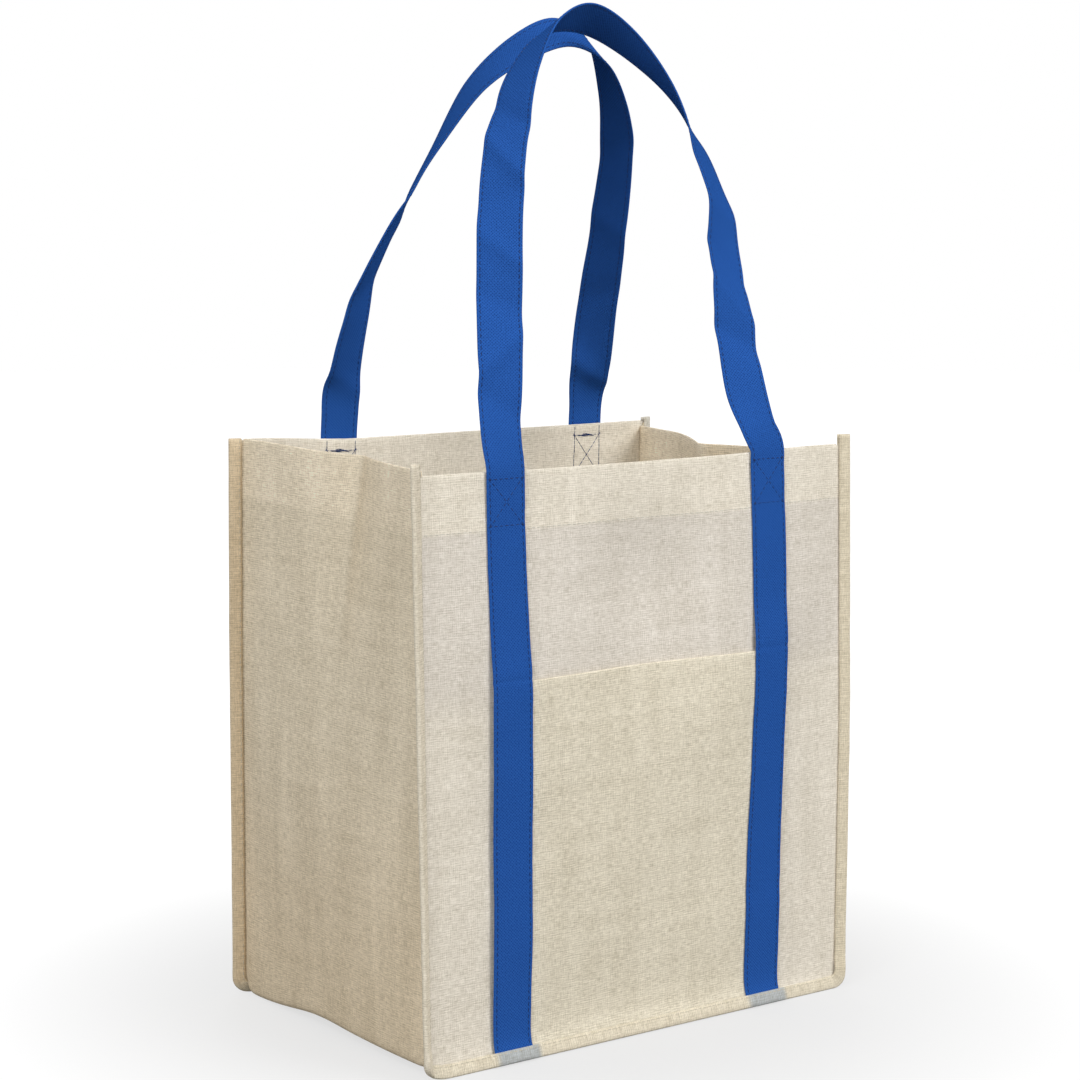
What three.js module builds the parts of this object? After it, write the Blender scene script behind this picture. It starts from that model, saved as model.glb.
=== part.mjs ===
// A non-woven tote bag: two sewn panels, one gusset strip that makes both sides and the bottom,
// tape bound round the two outside seams, a flat front pocket, two long straps whose loops are
// the handles, and a loose stiff board on the bottom.
// Units are millimetres, +Z is up, the front of the bag faces -Y and it stands on z = 0.
import * as THREE from 'three';

// Body
const WIDTH = 305;              // seam to seam across the front
const DEPTH = 203;              // front seam to back seam at the foot
const HEIGHT = 330;             // bottom seam to top edge
const LEAN = 7;                 // how far the front and the back lean in at the top
const PANEL_BULGE = 5;          // how far the panels swell between their seams
const FOLD_LEFT = 23;           // how far the left side is pushed in at the top
const FOLD_RIGHT = 33;          // the same on the right side
const FOLD_START = 100;         // height above the bottom seam where the side folds begin

// Cloth layers
const CLOTH = 0.6;              // thickness of the laminated cloth
const TAPE = 0.5;               // thickness of the binding tape
const STRAP = 1.2;              // thickness of the folded strap
const GAP = 0.3;                // air between two layers that lie on each other
const LAYER = CLOTH + GAP;      // step from one cloth layer to the next

// Outside seams
const FLANGE = 7.5;             // seam allowance that stands out from the body
const FLANGE_TILT = THREE.MathUtils.degToRad(20); // its lean away from the panel's plane
const FOOT = 8.4;               // height of the bottom seam above the ground
const TAPE_START = 1.2;         // distance of the tape's edge from the seam
const TAPE_TOP_FRONT = 6;       // how far the tape ends stand above the top edge
const TAPE_TOP_BACK = 2;
const CORNER_STEPS = 6;         // facets round a bottom corner of the seam
const SEAM_SHIFT = LAYER / Math.cos(FLANGE_TILT) + 0.02; // gusset seam behind the panel seam

// Hems and pocket
const HEM = 34;                 // depth of the turned-in top hem
const HEM_TRIM = 3;             // the turned-in layer stops short of the corners
const POCKET_MOUTH = 209.5;     // pocket mouth above the bottom seam
const POCKET_HALF = 107;        // half the pocket's width
const POCKET_HEM = 20;          // depth of the pocket's own hem

// Straps
const STRAP_WIDTH = 26;
const STRAP_TUCK = 7;           // length of a strap end under the binding
const FRONT_STRAP_X = [-97, 95];
const BACK_STRAP_X = [-83, 106];
const RUN_LEAN = 6.2;           // how far the right strap of the front slants in at its foot
const BUMP_RUN = 4;             // length over which the tape rises to pass a strap end

// Board
const BOARD = 2;
const BOARD_INSET = 5;
const BOARD_CORNER = 6;

// Handle loops: points along the strap's middle above the top edge, each with the compass angle
// and the tilt of the strap's width in degrees. The legs twist so that the strap lies flat on top.
const FRONT_LOOP = [
  { at: [-97, -94, 352], angle: -4, tilt: 0 },
  { at: [-91, -84, 390], angle: -17, tilt: 0 },
  { at: [-82, -71, 435], angle: -28, tilt: 0 },
  { at: [-72, -58, 480], angle: -43, tilt: 0 },
  { at: [-57, -44, 522], angle: -62, tilt: 0 },
  { at: [-34, -29, 560], angle: -81, tilt: 8 },
  { at: [-6, -17, 585], angle: -90, tilt: 25 },
  { at: [23, -11, 591], angle: -92, tilt: 37 },
  { at: [50, -14, 579], angle: -99, tilt: 25 },
  { at: [75, -25, 552], angle: -117, tilt: 8 },
  { at: [90, -38, 515], angle: -142, tilt: 0 },
  { at: [94, -52, 470], angle: -163, tilt: 0 },
  { at: [92, -68, 420], angle: -184, tilt: 0 },
  { at: [89, -84, 370], angle: -199, tilt: 0 },
  { at: [90.5, -94, 350], angle: -184, tilt: 0 },
];
const BACK_LOOP = [
  { at: [-83, 94, 352], angle: 0, tilt: 0 },
  { at: [-84.5, 83, 390], angle: 14, tilt: 0 },
  { at: [-79.5, 71, 430], angle: 33, tilt: 0 },
  { at: [-66, 57, 475], angle: 51, tilt: 0 },
  { at: [-46, 44, 515], angle: 66, tilt: 0 },
  { at: [-27, 30, 552], angle: 81, tilt: 12 },
  { at: [-1, 20, 574], angle: 86, tilt: 33 },
  { at: [26, 14, 584], angle: 92, tilt: 43 },
  { at: [53, 17, 574], angle: 94, tilt: 40 },
  { at: [75, 28, 546], angle: 98, tilt: 20 },
  { at: [87, 41, 510], angle: 105, tilt: 5 },
  { at: [93, 55, 465], angle: 112, tilt: 0 },
  { at: [96, 70, 420], angle: 126, tilt: 0 },
  { at: [100.5, 84, 375], angle: 155, tilt: 0 },
  { at: [106, 94, 350], angle: 178, tilt: 0 },
];
const LOOP_STEPS = 90;

const FRONT = -1;
const BACK = 1;

const vec = (x, y, z) => new THREE.Vector3(x, y, z);
const smooth = (t) => THREE.MathUtils.smoothstep(t, 0, 1);

// A list of values from a to b in equal steps, both ends included.
function steps(a, b, count) {
  return Array.from({ length: count + 1 }, (_, i) => a + ((b - a) * i) / count);
}

// Sheets

// An open surface made of quads. Quads that share a corner share a vertex.
class Sheet {
  constructor() {
    this.points = [];
    this.triangles = [];
    this.index = new Map();
  }

  vertex(p) {
    const key = p.toArray().map((c) => Math.round(c * 2000)).join(',');
    if (!this.index.has(key)) {
      this.index.set(key, this.points.length);
      this.points.push(p.clone());
    }
    return this.index.get(key);
  }

  triangle(a, b, c) {
    if (a !== b && b !== c && c !== a) this.triangles.push([a, b, c]);
  }

  // Adds a grid of rows of points. Neighbouring points may fall together.
  grid(rows) {
    const ids = rows.map((row) => row.map((p) => this.vertex(p)));
    for (let r = 0; r + 1 < ids.length; r++) {
      for (let c = 0; c + 1 < ids[r].length; c++) {
        const [a, b] = [ids[r][c], ids[r][c + 1]];
        const [d, e] = [ids[r + 1][c], ids[r + 1][c + 1]];
        this.triangle(a, b, e);
        this.triangle(a, e, d);
      }
    }
  }

  // Turns the triangles so that neighbours agree on which way is out.
  orient() {
    const byEdge = new Map();
    this.triangles.forEach((tri, t) => tri.forEach((i, k) => {
      const j = tri[(k + 1) % 3];
      const key = `${Math.min(i, j)},${Math.max(i, j)}`;
      byEdge.set(key, [...(byEdge.get(key) ?? []), t]);
    }));
    const hasEdge = (tri, i, j) => tri.some((a, k) => a === i && tri[(k + 1) % 3] === j);
    const seen = new Set([0]);
    const queue = [0];
    while (queue.length) {
      const tri = this.triangles[queue.pop()];
      tri.forEach((i, k) => {
        const j = tri[(k + 1) % 3];
        for (const other of byEdge.get(`${Math.min(i, j)},${Math.max(i, j)}`)) {
          if (seen.has(other)) continue;
          if (hasEdge(this.triangles[other], i, j)) this.triangles[other].reverse();
          seen.add(other);
          queue.push(other);
        }
      });
    }
  }

  // The outward step at each vertex that moves every face round it by one unit.
  offsets() {
    const sums = this.points.map(() => vec(0, 0, 0));
    const corners = this.points.map(() => []);
    for (const tri of this.triangles) {
      const [a, b, c] = tri.map((i) => this.points[i]);
      const normal = b.clone().sub(a).cross(c.clone().sub(a)).normalize();
      tri.forEach((i, k) => {
        const p = this.points[i];
        const q = this.points[tri[(k + 1) % 3]].clone().sub(p);
        const r = this.points[tri[(k + 2) % 3]].clone().sub(p);
        const weight = q.angleTo(r);
        sums[i].addScaledVector(normal, weight);
        corners[i].push({ normal, weight });
      });
    }
    return sums.map((sum, i) => {
      const normal = sum.normalize();
      let along = 0;
      let total = 0;
      for (const corner of corners[i]) {
        along += corner.weight * corner.normal.dot(normal);
        total += corner.weight;
      }
      return normal.multiplyScalar(Math.min(total / along, 1.6));
    });
  }

  // The sheet as a closed solid of one thickness, half on each side of the surface.
  thicken(thickness) {
    this.orient();
    const n = this.points.length;
    const offsets = this.offsets();
    const upper = this.points.map((p, i) => p.clone().addScaledVector(offsets[i], thickness / 2));
    const lower = this.points.map((p, i) => p.clone().addScaledVector(offsets[i], -thickness / 2));
    const faces = [];
    const edges = new Map();
    for (const [a, b, c] of this.triangles) {
      faces.push([a, b, c], [a + n, c + n, b + n]);
      for (const [i, j] of [[a, b], [b, c], [c, a]]) {
        if (edges.has(`${j},${i}`)) edges.delete(`${j},${i}`);
        else edges.set(`${i},${j}`, [i, j]);
      }
    }
    for (const [i, j] of edges.values()) {
      faces.push([i, i + n, j + n], [i, j + n, j]);
    }
    const geometry = new THREE.BufferGeometry();
    const all = [...upper, ...lower].flatMap((p) => p.toArray());
    geometry.setAttribute('position', new THREE.Float32BufferAttribute(all, 3));
    geometry.setIndex(faces.flat());
    geometry.computeVertexNormals();
    return geometry;
  }
}

// Shape of the body

// Distance of a panel from the middle of the bag at height v above the bottom seam.
function panelReach(x, v) {
  const across = THREE.MathUtils.clamp(1 - (2 * x / WIDTH) ** 2, 0, 1);
  const along = Math.sin(Math.PI * THREE.MathUtils.clamp(v / HEIGHT, 0, 1));
  return DEPTH / 2 - LEAN * v / HEIGHT + PANEL_BULGE * across * along;
}

const seamReach = (v) => DEPTH / 2 - LEAN * v / HEIGHT;

// A point on a panel, moved out by a distance. Negative v runs down the bottom flange.
function onPanel(side, x, v, out) {
  const tilt = FLANGE_TILT;
  if (v < 0) {
    const y = DEPTH / 2 - v * Math.sin(tilt) + out * Math.cos(tilt);
    return vec(x, side * y, FOOT + v * Math.cos(tilt) + out * Math.sin(tilt));
  }
  const lift = v === 0 ? out * Math.tan(tilt / 2) : 0;
  return vec(x, side * (panelReach(x, v) + out), FOOT + v + lift);
}

// Middle of a strap on its panel at height v. The right one of the front slants towards its foot.
function runX(side, leg, v) {
  const straight = (side === FRONT ? FRONT_STRAP_X : BACK_STRAP_X)[leg];
  const slants = side === FRONT && leg === 1;
  return slants ? straight - RUN_LEAN * (1 - THREE.MathUtils.smoothstep(v, 60, 270)) : straight;
}

// How far a side wall is pushed in at height v, at a distance y from the middle.
function sideFold(depth, y, v) {
  const rise = THREE.MathUtils.clamp((v - FOLD_START) / (HEIGHT - FOLD_START), 0, 1);
  const crease = 1 - Math.abs(y) / seamReach(v);
  return depth * Math.pow(rise, 1.4) * Math.max(crease, 0);
}

// Rows of the body above the bottom seam and columns across a panel, between its seams.
const BODY_ROWS = [...steps(0, HEIGHT - HEM, 12), HEIGHT - HEM / 2, HEIGHT];
const ACROSS = steps(HEM_TRIM - WIDTH / 2, WIDTH / 2 - HEM_TRIM, 12);

// Stops along a seam, from the left top round the bottom to the right top: the place on the
// seam and the direction in the panel's plane that points out of the body.
function seamStops(extra, acrossStops) {
  const heights = [...BODY_ROWS].reverse();
  const stops = [];
  const add = (x, v, angle) => stops.push({ x, v, out: vec(Math.cos(angle), 0, Math.sin(angle)) });
  if (extra > 0) add(-WIDTH / 2, HEIGHT + extra, Math.PI);
  heights.forEach((v) => v > 0 && add(-WIDTH / 2, v, Math.PI));
  steps(Math.PI, 1.5 * Math.PI, CORNER_STEPS).forEach((angle) => add(-WIDTH / 2, 0, angle));
  acrossStops.forEach((x) => add(x, 0, 1.5 * Math.PI));
  steps(1.5 * Math.PI, 2 * Math.PI, CORNER_STEPS).forEach((angle) => add(WIDTH / 2, 0, angle));
  BODY_ROWS.forEach((v) => v > 0 && add(WIDTH / 2, v, 2 * Math.PI));
  if (extra > 0) add(WIDTH / 2, HEIGHT + extra, 2 * Math.PI);
  return stops;
}

// A point beside a seam: s along the flange, n towards the inside of the bag.
function besideSeam(side, stop, s, n) {
  const along = stop.out.clone().multiplyScalar(Math.cos(FLANGE_TILT));
  along.y = side * Math.sin(FLANGE_TILT);
  const inward = stop.out.clone().multiplyScalar(Math.sin(FLANGE_TILT));
  inward.y = -side * Math.cos(FLANGE_TILT);
  const seam = vec(stop.x, side * seamReach(stop.v), FOOT + stop.v);
  return seam.addScaledVector(along, s).addScaledVector(inward, n);
}

// Pieces of the body

// A panel with its turned-in top hem and the flange on its two sides and bottom.
function makePanel(side) {
  const sheet = new Sheet();
  const columns = [-WIDTH / 2, ...ACROSS, WIDTH / 2];
  const roll = LAYER / 2;
  sheet.grid(BODY_ROWS.map((v) => columns.map((x) => onPanel(side, x, v, 0))));

  const hemRow = (v, out) => ACROSS.map((x) => onPanel(side, x, v, out));
  sheet.grid([
    hemRow(HEIGHT, 0),
    hemRow(HEIGHT + roll, -roll),
    hemRow(HEIGHT, -LAYER),
    hemRow(HEIGHT - HEM / 2, -LAYER),
    hemRow(HEIGHT - HEM, -LAYER),
  ]);

  const stops = seamStops(0, ACROSS);
  const flangeRows = [0, FLANGE / 2, FLANGE].map((s) => stops.map((stop) => besideSeam(side, stop, s, 0)));
  sheet.grid(flangeRows);
  return sheet.thicken(CLOTH);
}

// The strip that makes the left side, the bottom and the right side, with a flange at both
// long edges and a turned-in hem at both ends.
function makeGusset() {
  const sheet = new Sheet();
  const stops = seamStops(0, ACROSS);
  const trim = 1 - HEM_TRIM / seamReach(HEIGHT);
  const trimmed = steps(-trim, trim, 8);
  const halves = [-1, ...trimmed, 1];
  const wall = (stop, t, inward) => {
    const y = t * (seamReach(stop.v) - SEAM_SHIFT);
    const depth = stop.x < 0 ? FOLD_LEFT : FOLD_RIGHT;
    const isSide = Math.abs(stop.x) === WIDTH / 2;
    const push = isSide ? sideFold(depth, y, stop.v) + inward : 0;
    return vec(stop.x - Math.sign(stop.x) * push, y, FOOT + stop.v);
  };
  sheet.grid(stops.map((stop) => halves.map((t) => wall(stop, t, 0))));

  const roll = LAYER / 2;
  for (const x of [-WIDTH / 2, WIDTH / 2]) {
    const hemRow = (v, inward, lift) => trimmed.map((t) => {
      const p = wall({ x, v }, t, inward);
      return p.setZ(p.z + lift);
    });
    const rows = [
      hemRow(HEIGHT, 0, 0),
      hemRow(HEIGHT, roll * 1.1, roll),
      hemRow(HEIGHT, LAYER * 1.1, 0),
      hemRow(HEIGHT - HEM / 2, LAYER * 1.1, 0),
      hemRow(HEIGHT - HEM, LAYER * 1.1, 0),
    ];
    sheet.grid(rows);
  }

  for (const side of [FRONT, BACK]) {
    const flange = [0, FLANGE / 2, FLANGE].map((s) => stops.map((stop) => {
      const p = besideSeam(side, stop, s, 0);
      return p.setY(p.y - side * SEAM_SHIFT);
    }));
    sheet.grid(flange);
  }
  return sheet.thicken(CLOTH);
}

// The tape round one seam. It rises over the strap ends and the foot of the pocket.
function makeBinding(side, hasPocket, standUp) {
  const feet = [runX(side, 0, 0), runX(side, 1, 0)];
  const edges = feet.flatMap((x) => {
    const half = STRAP_WIDTH / 2 + 0.7;
    return [x - half - BUMP_RUN, x - half, x + half, x + half + BUMP_RUN];
  });
  if (hasPocket) {
    const half = POCKET_HALF + 0.7;
    edges.push(-half - BUMP_RUN, -half, half, half + BUMP_RUN);
  }
  const across = [...ACROSS, ...edges].sort((a, b) => a - b);
  const stops = seamStops(standUp, across);
  const bare = -(CLOTH / 2 + GAP + TAPE / 2);
  const inside = LAYER + CLOTH / 2 + GAP + TAPE / 2;
  const rise = (distance, half) => 1 - THREE.MathUtils.clamp((distance - half - 0.7) / BUMP_RUN, 0, 1);
  const outside = (stop) => {
    if (stop.v > 0 || stop.out.z > -0.999) return bare;
    const pocket = hasPocket ? rise(Math.abs(stop.x), POCKET_HALF) : 0;
    const strap = Math.max(...feet.map((x) => rise(Math.abs(stop.x - x), STRAP_WIDTH / 2)));
    return bare - LAYER * Math.max(pocket, hasPocket ? strap : 0) - (STRAP + GAP) * strap;
  };
  const reach = (n) => (FOOT - TAPE / 2 - n * Math.sin(FLANGE_TILT)) / Math.cos(FLANGE_TILT);
  const sheet = new Sheet();
  sheet.grid(stops.map((stop) => {
    const n = outside(stop);
    return [
      besideSeam(side, stop, TAPE_START, n),
      besideSeam(side, stop, reach(n), n),
      besideSeam(side, stop, reach(inside), inside),
      besideSeam(side, stop, TAPE_START, inside),
    ];
  }));
  return sheet.thicken(TAPE);
}

// How far the pocket stands off the panel: flat in the bottom seam, two layers at its mouth.
function pocketOut(v) {
  return LAYER * (1 + smooth(v / 60));
}

// The flat pocket between the straps, with a turned-in hem at its mouth. Its right edge follows
// the slanting strap that covers it.
function makePocket() {
  const sheet = new Sheet();
  const columns = steps(-POCKET_HALF, POCKET_HALF, 10);
  const slant = (x, v) => (runX(FRONT, 1, v) - FRONT_STRAP_X[1]) * smooth(x / POCKET_HALF);
  const row = (v, out) => columns.map((x) => onPanel(FRONT, x + slant(x, v), v, out));
  const heights = [-STRAP_TUCK, -STRAP_TUCK / 2, ...steps(0, POCKET_MOUTH - POCKET_HEM, 9), POCKET_MOUTH];
  const rows = heights.map((v) => row(v, pocketOut(v)));
  rows.push(row(POCKET_MOUTH + LAYER / 2, 1.5 * LAYER));
  rows.push(row(POCKET_MOUTH, LAYER), row(POCKET_MOUTH - POCKET_HEM, LAYER));
  sheet.grid(rows);
  return sheet.thicken(CLOTH);
}

// Straps

// How far the middle of a strap stands off its panel at height v.
function strapOut(v, overPocket) {
  const bare = CLOTH / 2 + GAP + STRAP / 2;
  if (!overPocket) return bare;
  const step = 1 - smooth((v - POCKET_MOUTH - 2) / 8);
  return bare + step * pocketOut(Math.min(v, POCKET_MOUTH));
}

// One strap: up a panel, over the handle loop and down the panel again.
function makeStrap(side, loop, overPocket) {
  const runHeights = [-STRAP_TUCK, -STRAP_TUCK / 2, ...steps(0, 200, 10), ...steps(206, 222, 4)];
  runHeights.push(...steps(240, HEIGHT - 20, 4));
  const onRun = (leg, v, aside) => onPanel(side, runX(side, leg, v) + aside, v, strapOut(v, overPocket));
  const start = loop[0].angle;
  const turn = side === FRONT ? -180 : 180;
  const anchors = [
    { at: onRun(0, HEIGHT - 20, 0).toArray(), angle: 0, tilt: 0 },
    { at: onRun(0, HEIGHT + 3, 0).toArray(), angle: start / 4, tilt: 0 },
    ...loop,
    { at: onRun(1, HEIGHT + 3, 0).toArray(), angle: turn, tilt: 0 },
    { at: onRun(1, HEIGHT - 20, 0).toArray(), angle: turn, tilt: 0 },
  ];
  const middle = new THREE.CatmullRomCurve3(anchors.map((a) => vec(...a.at)), false, 'centripetal');
  const turns = new THREE.CatmullRomCurve3(anchors.map((a) => vec(a.angle, a.tilt, 0)), false, 'catmullrom', 0.5);

  const across = steps(-STRAP_WIDTH / 2, STRAP_WIDTH / 2, 2);
  const runRow = (leg, v, way) => across.map((d) => onRun(leg, v, way * d));
  const rows = runHeights.slice(0, -1).map((v) => runRow(0, v, 1));
  for (let i = 0; i <= LOOP_STEPS; i++) {
    const t = i / LOOP_STEPS;
    const spin = turns.getPoint(t);
    const angle = THREE.MathUtils.degToRad(spin.x);
    const tilt = THREE.MathUtils.degToRad(spin.y);
    const flat = Math.cos(tilt);
    const width = vec(flat * Math.cos(angle), flat * Math.sin(angle), Math.sin(tilt));
    const along = middle.getTangent(t);
    width.addScaledVector(along, -width.dot(along)).normalize();
    rows.push(across.map((d) => middle.getPoint(t).addScaledVector(width, d)));
  }
  rows.push(...runHeights.slice(0, -1).reverse().map((v) => runRow(1, v, -1)));

  const sheet = new Sheet();
  sheet.grid(rows);
  return sheet.thicken(STRAP);
}

// The loose board, a rounded rectangle that lies on the bottom of the gusset strip.
function makeBoard() {
  const halfX = WIDTH / 2 - BOARD_INSET;
  const halfY = DEPTH / 2 - BOARD_INSET;
  const r = BOARD_CORNER;
  const outline = new THREE.Shape();
  outline.moveTo(-halfX + r, -halfY);
  outline.lineTo(halfX - r, -halfY);
  outline.absarc(halfX - r, -halfY + r, r, -Math.PI / 2, 0);
  outline.absarc(halfX - r, halfY - r, r, 0, Math.PI / 2);
  outline.absarc(-halfX + r, halfY - r, r, Math.PI / 2, Math.PI);
  outline.absarc(-halfX + r, -halfY + r, r, Math.PI, 1.5 * Math.PI);
  const geometry = new THREE.ExtrudeGeometry(outline, { depth: BOARD, bevelEnabled: false, curveSegments: 6 });
  return geometry.translate(0, 0, FOOT + CLOTH / 2 + GAP);
}

// Assembly

const finish = (color, roughness) => new THREE.MeshStandardMaterial({ color, roughness, metalness: 0 });
const cloth = finish('#d7cbb3', 0.9);
const tape = finish('#ddd4c0', 0.9);
const strapping = finish('#2554a6', 0.75);
const boardCard = finish('#b7a583', 0.85);

const bag = new THREE.Group();
bag.name = 'non_woven_tote_bag';

// Turns a mesh whose faces point inwards the right way round.
function facingOut(geometry) {
  const index = geometry.index ? geometry.index.array : null;
  if (!index) return geometry;
  const p = geometry.attributes.position;
  const corner = (i) => vec(p.getX(i), p.getY(i), p.getZ(i));
  let volume = 0;
  for (let i = 0; i < index.length; i += 3) {
    volume += corner(index[i]).dot(corner(index[i + 1]).cross(corner(index[i + 2])));
  }
  if (volume < 0) {
    for (let i = 0; i < index.length; i += 3) {
      [index[i + 1], index[i + 2]] = [index[i + 2], index[i + 1]];
    }
    geometry.computeVertexNormals();
  }
  return geometry;
}

function addPiece(name, geometry, material) {
  const mesh = new THREE.Mesh(facingOut(geometry), material);
  mesh.name = name;
  bag.add(mesh);
}

addPiece('front_panel', makePanel(FRONT), cloth);
addPiece('back_panel', makePanel(BACK), cloth);
addPiece('gusset_strip', makeGusset(), cloth);
addPiece('front_pocket', makePocket(), cloth);
addPiece('front_binding', makeBinding(FRONT, true, TAPE_TOP_FRONT), tape);
addPiece('back_binding', makeBinding(BACK, false, TAPE_TOP_BACK), tape);
addPiece('front_strap', makeStrap(FRONT, FRONT_LOOP, true), strapping);
addPiece('back_strap', makeStrap(BACK, BACK_LOOP, false), strapping);
addPiece('base_board', makeBoard(), boardCard);

export default bag;
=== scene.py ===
"""Looks of a non-woven tote bag: linen-print cloth, bound seams, blue straps and their stitching."""
import math

import bmesh
import bpy
import numpy as np
from mathutils import Matrix, Vector, noise


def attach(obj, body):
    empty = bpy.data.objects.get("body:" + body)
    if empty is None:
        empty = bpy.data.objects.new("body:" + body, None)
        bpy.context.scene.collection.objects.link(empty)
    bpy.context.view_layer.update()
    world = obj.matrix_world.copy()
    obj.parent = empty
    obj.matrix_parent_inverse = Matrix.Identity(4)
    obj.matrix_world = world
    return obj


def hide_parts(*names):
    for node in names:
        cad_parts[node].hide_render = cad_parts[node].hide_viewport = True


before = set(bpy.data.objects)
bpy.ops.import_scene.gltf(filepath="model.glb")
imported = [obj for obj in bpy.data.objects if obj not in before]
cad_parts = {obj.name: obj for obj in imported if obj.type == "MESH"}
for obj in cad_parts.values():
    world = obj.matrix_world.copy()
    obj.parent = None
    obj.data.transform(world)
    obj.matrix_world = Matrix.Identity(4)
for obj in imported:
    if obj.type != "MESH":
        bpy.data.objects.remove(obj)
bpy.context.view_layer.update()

# Body of the bag, in metres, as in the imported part
WIDTH = 0.305
DEPTH = 0.203
HEIGHT = 0.330
LEAN = 0.007
FOOT = 0.0084
FOLD_LEFT = 0.023
FOLD_RIGHT = 0.029
FOLD_START = 0.100

# How the cloth hangs and stands, which only this scene shows
CORNER_LIFT = 0.0038
TOP_SAG = 0.0034
EDGE_SLANT = 0.0046
FOOT_TURN = 0.0040
SEAM_TURN = (math.radians(24), math.radians(11))
FOLD_SAG = 0.0046
SIDE_DIP = 0.0036

# Form of panels and sides between their seams. Heights and spreads are shares of the bag's height.
# A swell or bow has its size, height and spread, a hollow its size, place across, width, height and spread.
# A wave has its size and length, and on the sides a seed.
SWELLS = ((0.0062, 0.62, 0.26), (0.0022, 0.25, 0.20))
HOLLOWS = ((0.0035, 0.0, 0.055, 0.66, 0.16), (0.0050, 0.004, 0.042, 0.80, 0.11))
FOOT_PINCH = 0.0032
BROAD_WAVE = (0.0014, 0.085)
MIDDLE_WAVE = (0.0005, 0.035)
FINE_WAVE = (0.00012, 0.012)
PUCKER = (0.00022, 0.010)
SIDE_WAVES = ((0.0013, 0.09, 4), (0.0005, 0.032, 6))
SIDE_BOW = (0.0035, 0.30, 0.22)

# Cloth layers
CLOTH = 0.0006
TAPE = 0.0005
STRAP = 0.0012
LAYER = 0.0009
TAPE_GAP = 0.0002
STRAP_GAP = 0.0001
TAPE_INSIDE = LAYER + CLOTH / 2 + TAPE / 2 + TAPE_GAP

# Outside seams
FLANGE = 0.0075
FLANGE_TILT = math.radians(20)
FLARE_RUN = 0.0025
SEAM_CORNER = 0.003
OUTLINE_CORNER = 0.0085
CORNER_REACH = 0.18
TAPE_START = 0.0010
TAPE_NOSE = 0.0007
TAPE_PUFF = 0.00025
TAPE_PRINT = 0.020
TAPE_WOBBLE = (0.00025, 0.018)
TAPE_TOP = {"front": (0.0048, 0.0045), "back": (0.001, 0.0025)}

# Hems and pocket
HEM = 0.034
HEM_LINE = 0.0327
HEM_TRIM = 0.0012
POCKET_MOUTH = 0.2095
POCKET_HALF = 0.107
POCKET_HEM = 0.020
POCKET_BOW = 0.0012

# Straps: their cut, the places of their two runs, and how they stand off and sway
STRAP_WIDTH = 0.026
STRAP_TUCK = 0.007
TUCK_SHIFT = 0.003
STRAP_X = {"front": (-0.097, 0.095), "back": (-0.083, 0.106)}
RUN_LEAN = 0.0062
LOOP_START = HEIGHT - 0.020
LOOP_ENDS = (LOOP_START, HEIGHT - 0.008, HEIGHT + 0.003)
STRAP_SWAY = (0.0012, 0.045)
STRAP_LIFT = 0.0004
MOUTH_CREASE = 0.0003

# Handle loops: place of the middle, and compass angle and tilt of the strap's width in degrees
LOOPS = {
    "front": [
        (-0.097, -0.094, 0.352, -4, 0), (-0.091, -0.084, 0.390, -17, 0), (-0.082, -0.071, 0.435, -28, 0),
        (-0.072, -0.058, 0.480, -43, 0), (-0.057, -0.044, 0.522, -62, 0), (-0.034, -0.029, 0.560, -81, 8),
        (-0.006, -0.017, 0.585, -90, 25), (0.023, -0.011, 0.591, -92, 37), (0.050, -0.014, 0.579, -99, 25),
        (0.075, -0.025, 0.552, -117, 8), (0.090, -0.038, 0.515, -142, 0), (0.094, -0.052, 0.470, -163, 0),
        (0.092, -0.068, 0.420, -184, 0), (0.089, -0.084, 0.370, -199, 0), (0.0905, -0.094, 0.350, -184, 0),
    ],
    "back": [
        (-0.083, 0.0955, 0.354, 0, 0), (-0.0842, 0.0925, 0.374, 3, 0), (-0.0847, 0.0835, 0.393, 14, 0),
        (-0.0795, 0.071, 0.430, 33, 0), (-0.066, 0.057, 0.475, 51, 0), (-0.046, 0.044, 0.515, 66, 0),
        (-0.027, 0.030, 0.552, 81, 12), (-0.001, 0.020, 0.574, 86, 33), (0.026, 0.014, 0.584, 92, 43),
        (0.053, 0.017, 0.574, 94, 40), (0.075, 0.028, 0.546, 98, 20), (0.087, 0.041, 0.510, 105, 5),
        (0.093, 0.055, 0.465, 112, 0), (0.096, 0.070, 0.420, 126, 0), (0.1010, 0.083, 0.383, 146, 0),
        (0.1045, 0.0925, 0.364, 174, 0), (0.106, 0.0955, 0.352, 180, 0),
    ],
}

# Creases across the loose legs: which leg, height, size, slant and run
CREASES = {
    "front": [
        (0, 0.372, -0.0018, 0.5, 0.006), (0, 0.400, 0.0020, -0.9, 0.005), (0, 0.428, -0.0018, 0.4, 0.006),
        (0, 0.457, 0.0018, 0.8, 0.005), (0, 0.486, -0.0020, -0.5, 0.006), (0, 0.508, 0.0018, 1.0, 0.005),
        (0, 0.532, -0.0016, 0.6, 0.005), (1, 0.402, -0.0028, 0.6, 0.006), (1, 0.425, 0.0016, 1.2, 0.004),
        (1, 0.448, -0.0014, 1.1, 0.004), (1, 0.478, 0.0036, 0.4, 0.010), (1, 0.520, -0.0018, -0.5, 0.008),
    ],
    "back": [
        (0, 0.376, -0.0032, 0.6, 0.008), (0, 0.430, 0.0016, -0.5, 0.008), (0, 0.480, -0.0018, 0.7, 0.008),
        (1, 0.374, -0.0032, 0.7, 0.007), (1, 0.425, 0.0018, -0.5, 0.008), (1, 0.470, -0.0016, 0.4, 0.007),
        (1, 0.515, 0.0018, -0.7, 0.008),
    ],
}
SIDE = {"front": -1.0, "back": 1.0}

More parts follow.
